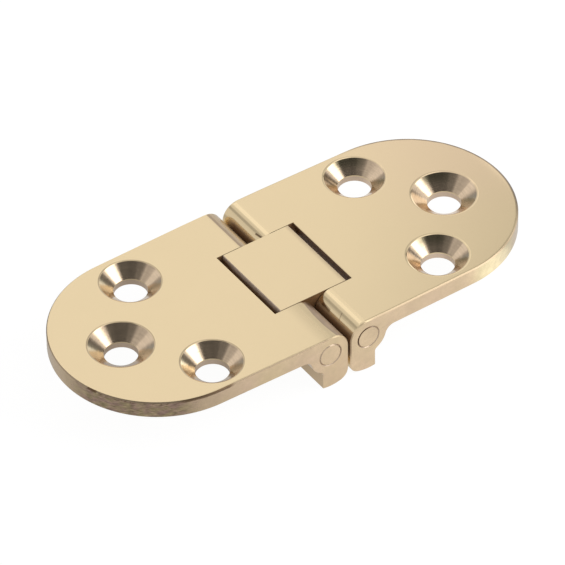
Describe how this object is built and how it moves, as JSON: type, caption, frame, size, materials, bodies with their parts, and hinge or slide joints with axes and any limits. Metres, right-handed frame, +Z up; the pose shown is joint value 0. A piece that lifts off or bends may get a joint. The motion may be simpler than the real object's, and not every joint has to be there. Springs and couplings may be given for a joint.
{
  "type": "flip-top table hinge",
  "caption": "Flush brass hinge with half-round leaves on a pinned link, so that a table flap folds right over onto the top beside it.",
  "frame": {"origin": "middle of the flush top face, halfway between the two pins", "axes": "+X along the hinge towards the end of the fixed leaf, +Y across it along the pins, +Z up out of the table top"},
  "size_m": [0.08, 0.0344, 0.0097],
  "materials": {
    "leaf_brass": "polished top, linished edges",
    "link_brass": "polished top, machined sides",
    "pin_brass": "drawn rod, ends ground flush"
  },
  "bodies": {
    "fixed_leaf": {"fixed_leaf": "leaf_brass", "fixed_pin": "pin_brass"},
    "link": {"link": "link_brass"},
    "flap_leaf": {"flap_leaf": "leaf_brass", "flap_pin": "pin_brass"}
  },
  "joints": [
    {"name": "link_on_fixed_pin", "type": "hinge", "parent": "fixed_leaf", "child": "link", "pos_m": [0.0035, 0, -0.0033], "axis": [0, 1, 0], "range_deg": [0, 90]},
    {"name": "flap_on_link", "type": "hinge", "parent": "link", "child": "flap_leaf", "pos_m": [-0.0035, 0, -0.0033], "axis": [0, 1, 0], "range_deg": [0, 90]}
  ]
}
